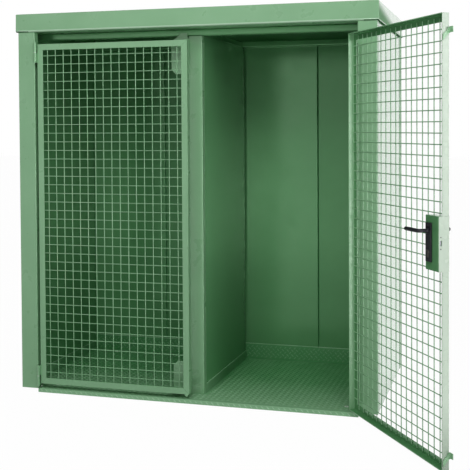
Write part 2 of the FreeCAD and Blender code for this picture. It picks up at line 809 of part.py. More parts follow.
cover_x = free_edge + s.angle_leg
cover_y = mesh_face - s.cover_plate
cover_blank = lock_bar(
    "cover_blank", "lock_width - angle_leg", "cover_plate", CASE_HEIGHT, (cover_x, cover_y, lock_foot),
)
cover_eye = lock_rod("cover_spindle_eye", "neck / 2", "cover_plate", (lever_x, cover_y, lever_z))
cover_key_hole = cylinder_shape("cover_key_hole", "cover_plate", cover_y, "bolt_play")
node(cut("lock_cover_plate", cover_blank, cover_eye, cover_key_hole))

plate_foot = lever_z - s.backplate_below
inside_plate_y = case_rear
outside_plate_y = cover_y - s.backplate
screw_heights = (
    lever_z + s.backplate_above - s.screw_from_end,
    lever_z - s.backplate_below + s.screw_from_end,
)
screws = []
for face, plate_y in (("inside", inside_plate_y), ("outside", outside_plate_y)):
    blank = lock_bar(
        f"{face}_plate_blank", "backplate_width", "backplate", "backplate_above + backplate_below",
        (lever_x - s.backplate_width / 2, plate_y, plate_foot),
    )
    eye = lock_rod(f"{face}_plate_eye", "spindle", "backplate", (lever_x, plate_y, lever_z))
    key_hole = cylinder_shape(f"{face}_plate_key_hole", "backplate", plate_y, "bolt_play")
    node(cut(f"{face}_backplate", blank, eye, key_hole))
    head_y = plate_y + s.backplate if face == "inside" else plate_y - s.screw_head_height
    for k, height in enumerate(screw_heights):
        screws.append(lock_rod(
            f"{face}_screw_{k + 1}", "screw_head / 2", "screw_head_height", (lever_x, head_y, height),
        ))
for k, away in enumerate((-0.5, 0.5)):
    screws.append(rod(
        f"forend_screw_{k + 1}", "forend_screw / 2", "forend_screw_height",
        (
            free_edge - s.forend - s.forend_screw_height,
            bolt_y + s.bolt_depth / 2,
            bolt_z + s.bolt_height / 2 + away * s.forend_screw_spacing,
        ),
        about_y(90), RIGHT_DOOR,
    ))
node(group("lock_screws", screws))

CYLINDER_LENGTH = "lock_depth - angle_wall + cover_plate + 2 * backplate + 2 * cylinder_proud"
cylinder_y = outside_plate_y - s.cylinder_proud
cylinder_blank = cylinder_shape("cylinder_blank", CYLINDER_LENGTH, cylinder_y, "0")
plug_bore = lock_rod("plug_bore", "plug / 2", CYLINDER_LENGTH, (lever_x, cylinder_y, plug_z))
node(cut("key_cylinder", cylinder_blank, plug_bore))

plug_blank = lock_rod("plug_blank", "plug / 2 - running_play", CYLINDER_LENGTH, (lever_x, cylinder_y, plug_z))
key_slot = lock_bar(
    "key_slot", "key_slot", CYLINDER_LENGTH, "key_slot_height",
    (lever_x - s.key_slot / 2, cylinder_y, plug_z - s.key_slot_height / 2),
)
node(cut("key_plug", plug_blank, key_slot))

node(lock_bar(
    "lock_bolt", "bolt_length", "bolt_depth", "bolt_height",
    (free_edge + s.bolt_tip, bolt_y, bolt_z),
))

# Levers: a round bar bent through a right angle, pointing to the hinge, with a square spindle between


def lever(face, plate_face, outwards):
    """Neck, bend, grip and rounded end; outwards is the way the lever stands off the door."""
    grip_y = plate_face + outwards * s.neck_reach
    bend_y = grip_y - outwards * s.neck_bend
    neck_y = plate_face + outwards * s.neck_play if outwards > 0 else bend_y
    neck = lock_rod(
        f"{face}_neck", "neck / 2", "neck_reach - neck_bend - neck_play", (lever_x, neck_y, lever_z),
    )
    bend = add("Part::Torus", f"{face}_bend")
    bind(bend, Radius1="neck_bend", Radius2="neck / 2")
    bend.Angle3 = 90
    start = FreeCAD.Rotation(Vector(0, 0, 1), 90 if outwards > 0 else 180)
    place(bend, (lever_x + s.neck_bend, bend_y, lever_z), start, RIGHT_DOOR)
    grip = rod(
        f"{face}_grip", "neck / 2", "grip - neck_bend - neck / 2",
        (lever_x + s.neck_bend, grip_y, lever_z), about_y(90), RIGHT_DOOR,
    )
    tip = add("Part::Sphere", f"{face}_tip")
    bind(tip, Radius="neck / 2")
    place(tip, (lever_x + s.grip - s.neck / 2, grip_y, lever_z), carrier=RIGHT_DOOR)
    blank = joined(f"{face}_lever_blank", neck, bend, grip, tip)
    socket_y = plate_face if outwards > 0 else plate_face - s.spindle_depth
    socket = lock_bar(
        f"{face}_socket", "spindle", "spindle_depth", "spindle",
        (lever_x - s.spindle / 2, socket_y, lever_z - s.spindle / 2),
    )
    return cut(f"{face}_lever", blank, socket)


inside_face = inside_plate_y + s.backplate
node(lever("inside", inside_face, 1))
node(lever("outside", outside_plate_y, -1))
node(lock_bar(
    "lever_spindle", "spindle",
    "lock_depth - angle_wall + cover_plate + 2 * backplate + 2 * spindle_depth", "spindle",
    (lever_x - s.spindle / 2, outside_plate_y - s.spindle_depth, lever_z - s.spindle / 2),
))

# Check every piece, then write one file for each sub-part

doc.recompute()
for obj in doc.Objects:
    if {"Invalid", "Error"} & set(obj.State):
        raise RuntimeError(f"{obj.Label} failed: {obj.State}")
for piece in nodes:
    if piece.Shape.isNull() or not piece.Shape.isValid():
        raise RuntimeError(f"{piece.Label} has no valid shape")
os.makedirs("parts", exist_ok=True)
for piece in nodes:
    piece.Shape.exportStep(os.path.join("parts", piece.Label + ".step"))
print(f"{len(nodes)} sub-parts written")
print("right hinge axis", round(hinge_x, 3), round(hinge_y, 3))
print("lever axis shut", round(lever_x, 3), round(lever_z, 3), "plug height", round(plug_z, 3))
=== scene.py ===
import json
import math
import bpy
import bmesh
from mathutils import Matrix, Vector

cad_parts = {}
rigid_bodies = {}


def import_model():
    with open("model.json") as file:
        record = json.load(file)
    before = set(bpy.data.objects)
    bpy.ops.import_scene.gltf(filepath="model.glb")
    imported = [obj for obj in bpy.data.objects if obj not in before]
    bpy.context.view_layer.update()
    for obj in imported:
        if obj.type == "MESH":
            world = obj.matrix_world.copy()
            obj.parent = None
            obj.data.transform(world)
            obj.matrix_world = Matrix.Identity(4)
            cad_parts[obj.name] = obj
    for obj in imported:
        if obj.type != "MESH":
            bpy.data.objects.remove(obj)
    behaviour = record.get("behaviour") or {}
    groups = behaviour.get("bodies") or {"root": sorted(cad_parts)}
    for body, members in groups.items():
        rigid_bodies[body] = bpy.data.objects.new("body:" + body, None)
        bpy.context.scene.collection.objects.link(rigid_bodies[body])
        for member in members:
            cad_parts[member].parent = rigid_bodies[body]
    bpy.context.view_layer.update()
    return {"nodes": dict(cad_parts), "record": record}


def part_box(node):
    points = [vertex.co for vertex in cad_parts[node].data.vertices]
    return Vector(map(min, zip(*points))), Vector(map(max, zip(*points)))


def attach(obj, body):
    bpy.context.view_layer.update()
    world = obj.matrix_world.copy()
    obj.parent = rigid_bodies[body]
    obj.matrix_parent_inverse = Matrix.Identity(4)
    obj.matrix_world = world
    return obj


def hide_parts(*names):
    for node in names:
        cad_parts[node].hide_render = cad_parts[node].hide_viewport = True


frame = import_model()

# Floor bearers
# Five flat rectangular tubes, cold formed from steel strip and seam welded, that carry the floor plate.
# They are welded to its underside and powder coated with the rest of the carcass.


def linear(colour):
    """An sRGB hex colour as a linear one."""
    shares = [int(colour[k:k + 2], 16) / 255 for k in (1, 3, 5)]
    return [c / 12.92 if c <= 0.04045 else ((c + 0.055) / 1.055) ** 2.4 for c in shares] + [1.0]


def add_node(tree, kind, inputs=None, **settings):
    """Add a node with its settings; an input is a value, or the output that feeds it."""
    node = tree.nodes.new(kind)
    for name, value in settings.items():
        setattr(node, name, value)
    for name, value in (inputs or {}).items():
        if isinstance(value, bpy.types.NodeSocket):
            tree.links.new(value, node.inputs[name])
        else:
            node.inputs[name].default_value = value
    return node


def new_finish(name):
    """An empty material, and where its patterns are placed: metres in the piece's own frame."""
    finish = bpy.data.materials.new(name)
    finish.use_nodes = True
    finish.node_tree.nodes.clear()
    place = add_node(finish.node_tree, "ShaderNodeTexCoord").outputs["Object"]
    return finish, finish.node_tree, place


def powder_coat(
    name, colour, thick_colour, dull, bright, gloss_tint=(1, 1, 1, 1), gloss_level=0.5, painted_light_colour=None,
):
    """Powder coat: polyester powder baked onto steel, a satin skin with the waviness of orange peel.
    The eye sees a faint cloudiness where the film is thicker, and patches that shine a little less.
    A painted light colour, if one is given, is mixed in from the rear of the cabinet to its front: painted
    shade behind, painted light in front."""
    finish, tree, place = new_finish(name)
    film_cloud = 0.30
    dull_patch = 0.07
    peel = 0.005  # real orange peel is about 2 mm across; drawn wider so that it shows
    cloud = add_node(tree, "ShaderNodeTexNoise", {"Vector": place, "Scale": 1 / film_cloud, "Detail": 4.0})
    patch = add_node(tree, "ShaderNodeTexNoise", {"Vector": place, "Scale": 1 / dull_patch, "Detail": 3.0})
    wave = add_node(tree, "ShaderNodeTexNoise", {"Vector": place, "Scale": 1 / peel, "Detail": 1.0})
    share = add_node(tree, "ShaderNodeMapRange", {
        "Value": cloud.outputs["Fac"], "From Min": 0.35, "From Max": 0.65,
    })
    tint = add_node(tree, "ShaderNodeMix", {
        0: share.outputs["Result"], 6: linear(colour), 7: linear(thick_colour),
    }, data_type="RGBA")
    if painted_light_colour:
        painted_shade_depth, painted_light_depth = 0.45, -0.38
        depth = add_node(tree, "ShaderNodeSeparateXYZ", {"Vector": place})
        painted_light_share = add_node(tree, "ShaderNodeMapRange", {
            "Value": depth.outputs["Y"], "From Min": painted_shade_depth, "From Max": painted_light_depth,
        })
        tint = add_node(tree, "ShaderNodeMix", {
            0: painted_light_share.outputs["Result"], 6: tint.outputs[2], 7: linear(painted_light_colour),
        }, data_type="RGBA")
    gloss = add_node(tree, "ShaderNodeMapRange", {
        "Value": patch.outputs["Fac"], "From Min": 0.3, "From Max": 0.7, "To Min": bright, "To Max": dull,
    })
    skin = add_node(tree, "ShaderNodeBump", {
        "Height": wave.outputs["Fac"], "Strength": 0.12, "Distance": 0.0003,
    })
    surface = add_node(tree, "ShaderNodeBsdfPrincipled", {
        "Base Color": tint.outputs[2], "Roughness": gloss.outputs["Result"],
        "Normal": skin.outputs["Normal"], "IOR": 1.5, "Specular Tint": gloss_tint,
        "Specular IOR Level": gloss_level,
    })
    add_node(tree, "ShaderNodeOutputMaterial", {"Surface": surface.outputs["BSDF"]})
    return finish


# The outside of the cabinet: a mid green with a satin shine. A deeper copy of it paints the shade inside.
green_paint = powder_coat("green_powder_coat_on_sheet_steel", "#76a57b", "#7cab81", 0.36, 0.26)
fold_wall = 0.0055  # faces narrower than this are the sheet's own cut edges
fold_turn = 1.0  # two faces of a fold turn from each other by more than this angle, in radians
cut_turn = 0.9


def body_of(node):
    """The name of the body that a CAD piece moves with."""
    return frame["nodes"][node].parent.name.split(":")[1]


def sharp_edges(shape, least, sense, broad):
    """Edges between two faces of a fold, sense 1 outside it and -1 inside; broad is the least face width."""
    width = {face: 2 * face.calc_area() / face.calc_perimeter() for face in shape.faces}
    return [
        edge for edge in shape.edges
        if len(edge.link_faces) == 2
        and sense * edge.calc_face_angle_signed(0) > least
        and min(width[face] for face in edge.link_faces) > broad
    ]


def round_edges(shape, edges, radius, steps):
    """Round the edges, if there are any."""
    if edges:
        bmesh.ops.bevel(
            shape, geom=edges, offset=radius, offset_type="OFFSET", segments=steps, profile=0.5,
            affect="EDGES", clamp_overlap=False,
        )


def cad_shape(node):
    """The faces of a CAD piece as whole polygons."""
    shape = bmesh.new()
    shape.from_mesh(frame["nodes"][node].data)
    bmesh.ops.remove_doubles(shape, verts=shape.verts, dist=1e-5)
    bmesh.ops.dissolve_limit(
        shape, angle_limit=math.radians(0.5), verts=shape.verts, edges=shape.edges,
    )
    return shape


def formed(node, outside, inside, burr=0.0004):
    """A piece with its folds rounded as the press leaves them, and the burr taken off its cut edges."""
    shape = cad_shape(node)
    round_edges(shape, sharp_edges(shape, fold_turn, 1, fold_wall), outside, 4)
    round_edges(shape, sharp_edges(shape, fold_turn, -1, fold_wall), inside, 3)
    round_edges(shape, sharp_edges(shape, cut_turn, 1, 0), burr, 1)
    return shape


def settle(name, shape, finish, slot, body, *stands_for):
    """Make a finished shape a piece that rides on its body."""
    crease = math.radians(44)  # faces that meet more sharply than this keep a hard edge
    mesh = bpy.data.meshes.new(name)
    shape.to_mesh(mesh)
    shape.free()
    mesh.shade_smooth()
    mesh.set_sharp_from_angle(angle=crease)
    mesh.materials.append(finish)
    piece = bpy.data.objects.new(name, mesh)
    bpy.context.scene.collection.objects.link(piece)
    flat = piece.modifiers.new("flat_faces", "WEIGHTED_NORMAL")
    flat.keep_sharp = True
    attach(piece, body)
    if stands_for:
        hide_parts(*stands_for)
    return piece


def press(node, outside=0.004, inside=0.002, burr=0.0004, finish=green_paint, slot="green_paint"):
    """A CAD piece as it leaves the press; the radii that are given here are those of folds in 2 mm sheet."""
    return settle(node + "_formed", formed(node, outside, inside, burr), finish, slot, body_of(node), node)


press("floor_bearers")

# Floor plate
# Tread plate, hot rolled with raised almond marks in alternate rows, cut round the posts and folded down
# in front to the ground. Four holes take the ground anchors, with nearly white rims painted round them as
# painted light.

mark_length = 0.026
mark_width = 0.0085
mark_height = 0.0020
mark_row = 0.016  # rows lie this far apart, and every second row leans the other way
mark_reach = 0.012  # clear of what stands on the plate
X, Y, Z = Vector((1, 0, 0)), Vector((0, 1, 0)), Vector((0, 0, 1))


def ring(shape, middle, right, up, corners):
    """New corners round a middle; right and up are the half axes of their round."""
    turns = [2 * math.pi * k / corners for k in range(corners)]
    return [shape.verts.new(middle + right * math.cos(t) + up * math.sin(t)) for t in turns]


def bridge(shape, rings):
    """New faces from each ring of corners to the next."""
    faces = []
    for low, high in zip(rings, rings[1:]):
        for k in range(len(low)):
            after = (k + 1) % len(low)
            faces.append(shape.faces.new((low[k], low[after], high[after], high[k])))
    return faces


def raise_marks(shape, spots, up):
    """Almond marks on a plate: a pointed outline that rises to a rounded crest. The crest also says how pale
    a mark is painted, as rubbed wear and painted highlight: on the floor, most on the marks that lean one
    way."""
    crest = shape.verts.layers.float.get("crest") or shape.verts.layers.float.new("crest")
    corners = 10
    outlines = ((1.0, -0.1), (0.8, 0.6), (0.45, 1.0))  # share of the mark's size, and of its height
    for middle, along in spots:
        across = up.cross(along)
        lean = along.x * along.y
        wear_and_highlight = 1.0 if lean > 0 else 0.2 if lean < 0 else 0.5
        rings = []
        for share, rise in outlines:
            outline = []
            for k in range(corners):
                turn = 2 * math.pi * k / corners
                lengthwise = along * (mark_length / 2 * share * math.cos(turn))
                sideways = across * (mark_width / 2 * share * math.sin(turn) * abs(math.sin(turn)))
                corner = shape.verts.new(middle + lengthwise + sideways + up * (mark_height * rise))
                corner[crest] = max(rise, 0) * wear_and_highlight
                outline.append(corner)
            rings.append(outline)
        bridge(shape, rings)
        shape.faces.new(rings[-1])


def mark_spots(low, high, right, upward, origin):
    """Places and directions of the marks on a plane, row by row between two corners."""
    spots = []
    for i in range(math.ceil(low[0] / mark_row), math.floor(high[0] / mark_row) + 1):
        lean = (right + upward if i % 2 else right - upward).normalized()
        for j in range(math.ceil(low[1] / mark_row), math.floor(high[1] / mark_row) + 1):
            if (i + j) % 2 == 0:
                spots.append((origin + right * (i * mark_row) + upward * (j * mark_row), lean))
    return spots


def is_covered(spot, low, high):
    """Whether a mark would reach under a piece that stands on the floor."""
    return all(low[k] - mark_reach < spot[k] < high[k] + mark_reach for k in (0, 1))


def tread_plate_coat(name, colour, worn_and_highlight_colour):
    """The same powder coat over tread plate. The crests of the marks are painted pale and shiny, partly
    rubbed wear and partly painted highlight, more towards the front lip; the ground is painted paler towards
    the front too, a painted light. Dust dulls it in patches."""
    finish, tree, place = new_finish(name)
    dust_patch = 0.12
    peel = 0.005  # drawn wider than life, as on the sheet
    rub_spot = 0.06
    dust = add_node(tree, "ShaderNodeTexNoise", {"Vector": place, "Scale": 1 / dust_patch, "Detail": 5.0})
    rub = add_node(tree, "ShaderNodeTexNoise", {"Vector": place, "Scale": 1 / rub_spot, "Detail": 2.0})
    wave = add_node(tree, "ShaderNodeTexNoise", {"Vector": place, "Scale": 1 / peel, "Detail": 1.0})
    crest = add_node(tree, "ShaderNodeAttribute", attribute_name="crest")
    depth = add_node(tree, "ShaderNodeSeparateXYZ", {"Vector": place})
    wear_and_front_light = add_node(tree, "ShaderNodeMapRange", {
        "Value": depth.outputs["Y"], "From Min": 0.2, "From Max": -0.48, "To Min": 0.7, "To Max": 2.4,
    })
    used = add_node(tree, "ShaderNodeMath", {
        0: crest.outputs["Fac"], 1: wear_and_front_light.outputs["Result"],
    }, operation="MULTIPLY")
    rub_and_highlight = add_node(tree, "ShaderNodeMath", {
        0: used.outputs["Value"], 1: rub.outputs["Fac"],
    }, operation="MULTIPLY")
    share = add_node(tree, "ShaderNodeMapRange", {
        "Value": dust.outputs["Fac"], "From Min": 0.3, "From Max": 0.7, "To Min": 0.0, "To Max": 0.2,
    })
    dusty = add_node(tree, "ShaderNodeMix", {
        0: share.outputs["Result"], 6: linear(colour), 7: linear("#6f9c74"),
    }, data_type="RGBA")
    painted_front_light = add_node(tree, "ShaderNodeMapRange", {
        "Value": depth.outputs["Y"], "From Min": 0.0, "From Max": -0.5, "To Min": 0.0, "To Max": 0.85,
    })
    painted_front_tint = add_node(tree, "ShaderNodeMix", {
        0: painted_front_light.outputs["Result"], 6: dusty.outputs[2], 7: linear("#86b48b"),
    }, data_type="RGBA")
    tint = add_node(tree, "ShaderNodeMix", {
        0: rub_and_highlight.outputs["Value"], 6: painted_front_tint.outputs[2], 7: linear(worn_and_highlight_colour),
    }, data_type="RGBA")
    gloss = add_node(tree, "ShaderNodeMapRange", {
        "Value": rub_and_highlight.outputs["Value"], "From Min": 0.0, "From Max": 0.6, "To Min": 0.5, "To Max": 0.34,
    })
    skin = add_node(tree, "ShaderNodeBump", {
        "Height": wave.outputs["Fac"], "Strength": 0.12, "Distance": 0.0003,
    })
    surface = add_node(tree, "ShaderNodeBsdfPrincipled", {
        "Base Color": tint.outputs[2], "Roughness": gloss.outputs["Result"],
        "Normal": skin.outputs["Normal"], "IOR": 1.5,
    })
    add_node(tree, "ShaderNodeOutputMaterial", {"Surface": surface.outputs["BSDF"]})
    return finish


green_tread = tread_plate_coat("green_powder_coat_on_tread_plate", "#3f854c", "#a4caa8")
anchors = next(mount for mount in frame["record"]["mounts"] if mount["name"] == "floor_anchors")["dims"]
anchor_x, anchor_y = anchors["spacing_x_mm"] / 2000, anchors["spacing_y_mm"] / 2000
anchor_spots = [(sx * anchor_x, sy * anchor_y) for sx in (-1, 1) for sy in (-1, 1)]
hole_radius = anchors["hole_r_mm"] / 1000
hole_margin = 0.02
edge_margin = 0.015
lip_margin = 0.014
lip_half = 0.93
floor_low, floor_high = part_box("floor_plate")
floor_shape = formed("floor_plate", 0.006, 0.002)
standing = [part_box(node) for node in (
    "left_front_post", "right_front_post", "left_rear_post", "right_rear_post", "partition_post",
    "left_kick_plate", "right_kick_plate", "partition_left_kick_plate", "partition_right_kick_plate",
    "rear_left_kick_plate", "rear_right_kick_plate",
)]
standing.append((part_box("partition_left_sheet")[0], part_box("partition_right_sheet")[1]))
free_spots = [
    (middle, lean) for middle, lean in mark_spots(
        (floor_low.x + edge_margin, floor_low.y + lip_margin),
        (floor_high.x - edge_margin, floor_high.y - edge_margin), X, Y, Z * floor_high.z,
    )
    if not any(is_covered(middle, low, high) for low, high in standing)
    and all((middle.x - x) ** 2 + (middle.y - y) ** 2 > hole_margin ** 2 for x, y in anchor_spots)
]
raise_marks(floor_shape, free_spots, Z)
lip_spots = mark_spots((-lip_half, 0), (lip_half, 0), X, Z, Vector((0, floor_low.y, floor_high.z / 2)))
raise_marks(floor_shape, lip_spots, -Y)
settle("floor_plate_formed", floor_shape, green_tread, "green_tread_plate", "cabinet", "floor_plate")

# Painted light: a nearly white, matt ring round each anchor hole, where it shows as a bright spot.
hole_light_paint = powder_coat("pale_primer_at_hole_rims", "#eef3ee", "#f4f8f4", 0.5, 0.4)
pale_rim_width = 0.005
rims = bmesh.new()
for x, y in anchor_spots:
    bridge(rims, [
        ring(rims, Vector((x, y, floor_high.z + rise)), X * radius, Y * radius, 24)
        for radius, rise in ((hole_radius + pale_rim_width, 0.0003), (hole_radius, 0.0008), (hole_radius, -0.0018))
    ])
settle("anchor_hole_rims", rims, hole_light_paint, "green_tread_plate", "cabinet")

# Corner posts
# Folded from 2 mm sheet, channels in front and angles at the rear, and welded to the floor plate's edge.
# The front pair carry the hinges.

for side in ("left", "right"):
    press(f"{side}_front_post")
    press(f"{side}_rear_post")

# Side walls and rear panels
# 2 mm sheet; the rear wall is four panels with folded edges set side by side, so that a narrow dark
# joint shows between them inside. Their inside faces carry a deeper green, a painted shade.

# Painted shade: a deeper copy of the green coat for what lies inside the cabinet and under the roof, with a
# smoother, greener shine.
deep_green, thick_green, green_shine = "#4f8556", "#548b5b", linear("#c4ffc9")
shaded_paint = powder_coat(
    "green_powder_coat_out_of_the_sun", deep_green, thick_green, 0.24, 0.17, green_shine, 0.75,
)


def paint_shade_inside(piece):
    """Give the faces that look into the cabinet, and those under the roof, the deeper coat that paints their
    shade.
    """
    roof_height, soffit_depth = 2.0, 0.3
    piece.data.materials.append(shaded_paint)
    for face in piece.data.polygons:
        middle, facing = face.center, face.normal
        under_roof = facing.z < -0.5 and middle.z > roof_height and abs(middle.y) < soffit_depth
        if facing.x * middle.x + facing.y * middle.y < 0 or under_roof:
            face.material_index = 1


# Rain washes the sides clean, so they shine more than the front.
glossy_paint = powder_coat("green_powder_coat_washed_by_rain", "#76a57b", "#7cab81", 0.18, 0.12)
# Their inside faces take the deeper coat that paints their shade.
for side in ("left", "right"):
    paint_shade_inside(press(f"{side}_side_wall", finish=glossy_paint))

# Dust lies in the joints, so they are dull and mirror nothing. The panels are worn to different shines.
joint_coat = powder_coat(
    "green_powder_coat_in_dusty_joints", "#559460", "#5b9a66", 0.7, 0.6, gloss_level=0.0,
)
# The panels' inside faces take the deep green that paints the shade inside the cabinet.
for panel, gloss_level in (("far_left", 0.75), ("left", 0.25), ("right", 0.75), ("far_right", 0.52)):
    panel_paint = powder_coat(
        f"green_powder_coat_inside_{panel}_panel", deep_green, thick_green, 0.24, 0.17, green_shine,
        gloss_level,
    )
    sheet = press(f"back_panel_{panel}", 0.006, 0.004, finish=panel_paint).data
    sheet.materials.append(joint_coat)
    sheet.materials.append(green_paint)
    for face in sheet.polygons:
        in_joint, outside = abs(face.normal.x) > 0.25, face.normal.y > 0.5
        face.material_index = 1 if in_joint else 2 if outside else 0

# Partition
# A folded post behind the meeting doors with a 2 mm sheet on each side, stiffened by a fold at the rear.
# It is welded to the floor and to a roof rail; a gap is left between it and the rear wall.

press("partition_post")
# Painted shade and painted light: dark at the rear, paler towards the front.
partition_shade_paint = powder_coat(
    "green_powder_coat_bleached_at_partition_front", "#3b6d43", "#407449", 0.24, 0.17, green_shine, 0.75,
    "#649d6c",
)
press("partition_left_sheet", 0.008, 0.006, finish=partition_shade_paint)
press("partition_right_sheet", 0.008, 0.006, finish=partition_shade_paint)

# Roof rails and front header
# Square steel tubes, cold formed with rounded corners and welded between the posts under the roof.
# The header is set back, so that the stop bracket of the left door rests on it.

# The rails under the roof take the deeper coat that paints their shade.
for rail in ("front_header", "back_top_rail", "left_top_rail", "right_top_rail", "partition_top_rail"):
    press(rail, 0.008, 0.003, finish=shaded_paint)

# Kick strips and rear kick plates
# Flat strips along the walls and the partition guard them from cylinder feet; the plates at the rear are
# tread plate like the floor, set upright. Their upper edges are painted pale: rubbed paint and a painted
# highlight.

green_strip_coat = tread_plate_coat("green_powder_coat_on_scuffed_strip", "#4c8a57", "#9cc9a2")
pale_band_width = 0.005
plate_margin = 0.014
foot_margin = 0.012


def split(shape, spot, facing):
    """Divide the faces of a shape along a plane."""
    bmesh.ops.bisect_plane(
        shape, geom=[*shape.verts, *shape.edges, *shape.faces], plane_co=spot, plane_no=facing, dist=1e-6,
    )


def strip_with_pale_band(node):
    """A strip with a band along its upper edge marked to be painted pale, as rubbed paint and painted
    highlight.
    """
    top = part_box(node)[1].z
    shape = formed(node, 0.001, 0.001, 0.0008)
    crest = shape.verts.layers.float.get("crest") or shape.verts.layers.float.new("crest")
    for drop in (pale_band_width, 0.8 * pale_band_width):
        split(shape, Z * (top - drop), Z)
    for vert in shape.verts:
        if vert.co.z > top - 0.9 * pale_band_width:
            vert[crest] = 1.0
    return shape


for wall in ("left", "right", "partition_left", "partition_right"):
    node = f"{wall}_kick_plate"
    settle(node + "_formed", strip_with_pale_band(node), green_strip_coat, "green_paint", "cabinet", node)
for side in ("left", "right"):
    node = f"rear_{side}_kick_plate"
    low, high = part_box(node)
    plate = strip_with_pale_band(node)
    foot = floor_high.z
    raise_marks(plate, mark_spots(
        (low.x + plate_margin, foot_margin), (high.x - plate_margin, high.z - foot - plate_margin),
        X, Z, Vector((0, low.y, foot)),
    ), -Y)
    settle(node + "_formed", plate, green_tread, "green_tread_plate", "cabinet", node)

# Roof cap
# One sheet folded down on all sides to a deep fascia, its corners welded and ground, its lower edge folded
# inwards. In front the fold runs back to the header as a soffit.

fold_height = 0.005
soffit_reach = 0.12
side_fold = 0.08
pale_edge_reach = 0.012
roof_low, roof_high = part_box("roof_cover")
roof = cad_shape("roof_cover")
for sense, radius in ((1, 0.010), (-1, 0.008)):
    round_edges(roof, [
        edge for edge in sharp_edges(roof, fold_turn, sense, fold_wall)
        if max(vert.co.z for vert in edge.verts) < roof_low.z + fold_height
        and max(vert.co.y for vert in edge.verts) < roof_low.y + soffit_reach
    ], radius, 5)
round_edges(roof, sharp_edges(roof, fold_turn, 1, fold_wall), 0.004, 4)
round_edges(roof, sharp_edges(roof, fold_turn, -1, fold_wall), 0.002, 3)
for sense in (-1, 1):
    split(roof, X * (sense * (roof_high.x - side_fold)), X)
cap = settle("roof_cover_formed", roof, green_paint, "green_paint", "cabinet", "roof_cover")
# Its inside, and the faces under it, take the deeper coat that paints their shade.
paint_shade_inside(cap)

# The folds under the sides are painted dark and matt, a painted shadow; the front edge is painted pale, a
# painted highlight.
for finish in (
    powder_coat("green_powder_coat_in_dusty_roof_fold", "#34633d", "#396a42", 0.7, 0.6, gloss_level=0.0),
    glossy_paint,
    powder_coat("green_powder_coat_bleached_at_drip_edge", "#abceaf", "#b2d3b6", 0.36, 0.26),
):
    cap.data.materials.append(finish)
for face in cap.data.polygons:
    middle, facing = face.center, face.normal
    rise, run = middle.z - roof_low.z, middle.y - roof_low.y
    if facing.z < -0.5 and rise < 2 * fold_height and abs(middle.x) > roof_high.x - side_fold:
        face.material_index = 2
    elif facing.x * middle.x > 0.9:
        face.material_index = 3
    elif -0.95 < facing.z < -0.05 and rise < pale_edge_reach and run < pale_edge_reach:
        face.material_index = 4

# Hinges
# Lift-off barrels turned from steel bar, each half welded by a flat lug to the post or the door.
# A zinc-plated pin and washer sit between the halves.

barrel = 0.008
barrel_rim = 0.0009
bore = 0.00405
lug = 0.006
lug_offset = 0.009
lug_root = 0.002
lug_edge = 0.0008
lug_inset = 0.0003
weld_inset = 0.004
weld_radius = 0.0022
joints = {joint["name"]: joint for joint in frame["record"]["behaviour"]["joints"]}
right_hinge = joints["right_door_hinge"]
right_axis = Vector(right_hinge["pos_m"])
open_turn = math.radians(-right_hinge["range_deg"][0])
OPEN = Matrix.Translation(right_axis) @ Matrix.Rotation(open_turn, 4, "Z") @ Matrix.Translation(-right_axis)
SHUT = OPEN.inverted()
STANDING = {"left": Matrix(), "right": OPEN}


def turned(shape, foot, tall, radius, hole, rim):
    """A turned bar or ring about an upright axis, its rims broken."""
    profile = (
        (hole, 0), (radius - rim, 0), (radius, rim),
        (radius, tall - rim), (radius - rim, tall), (hole, tall),
    )
    rings = [ring(shape, foot + Z * height, X * size, Y * size, 32) for size, height in profile]
    bmesh.ops.recalc_face_normals(shape, faces=bridge(shape, rings + rings[:1]))


def block(shape, low, high, radius):
    """A plate with rounded edges between two corners."""
    made = bmesh.ops.create_cube(shape, size=1.0)["verts"]
    for vert in made:
        vert.co = Vector(
            low[k] + (high[k] - low[k]) * (vert.co[k] + 0.5) for k in range(3)
        )
    edges = dict.fromkeys(edge for vert in made for edge in vert.link_edges)
    round_edges(shape, list(edges), radius, 2)


def square_to(along):
    """Two directions square to a third and to each other."""
    side = along.orthogonal().normalized()
    return side, along.cross(side)


def weld_bead(shape, start, end, radius):
    """A fillet weld between two points, with the ripples that each drop of filler leaves."""
    side, other = square_to((end - start).normalized())
    ripple = 0.0035
    count = max(4, round((end - start).length / ripple * 2))
    rings = []
    for k in range(count + 1):
        taper = min(1.0, 0.35 + min(k, count - k) * 0.4)
        swell = radius * taper * (1.0 if k % 2 else 0.86)
        rings.append(ring(shape, start + (end - start) * (k / count), side * swell, other * swell, 8))
    ends = [shape.faces.new(rings[0]), shape.faces.new(rings[-1])]
    bmesh.ops.recalc_face_normals(shape, faces=ends + bridge(shape, rings))


def solids(node, square):
    """Lowest and highest corners of each solid of a CAD piece, in the frame in which it stands square."""
    shape = cad_shape(node)
    shape.transform(square)
    left = set(shape.verts)
    boxes = []
    while left:
        found = {left.pop()}
        edge_of_search = list(found)
        while edge_of_search:
            vert = edge_of_search.pop()
            for edge in vert.link_edges:
                other = edge.other_vert(vert)
                if other not in found:
                    found.add(other)
                    edge_of_search.append(other)
        left -= found
        boxes.append((
            Vector(min(v.co[k] for v in found) for k in range(3)),
            Vector(max(v.co[k] for v in found) for k in range(3)),
        ))
    shape.free()
    return sorted(boxes, key=lambda box: tuple(round(c, 5) for c in box[0]))


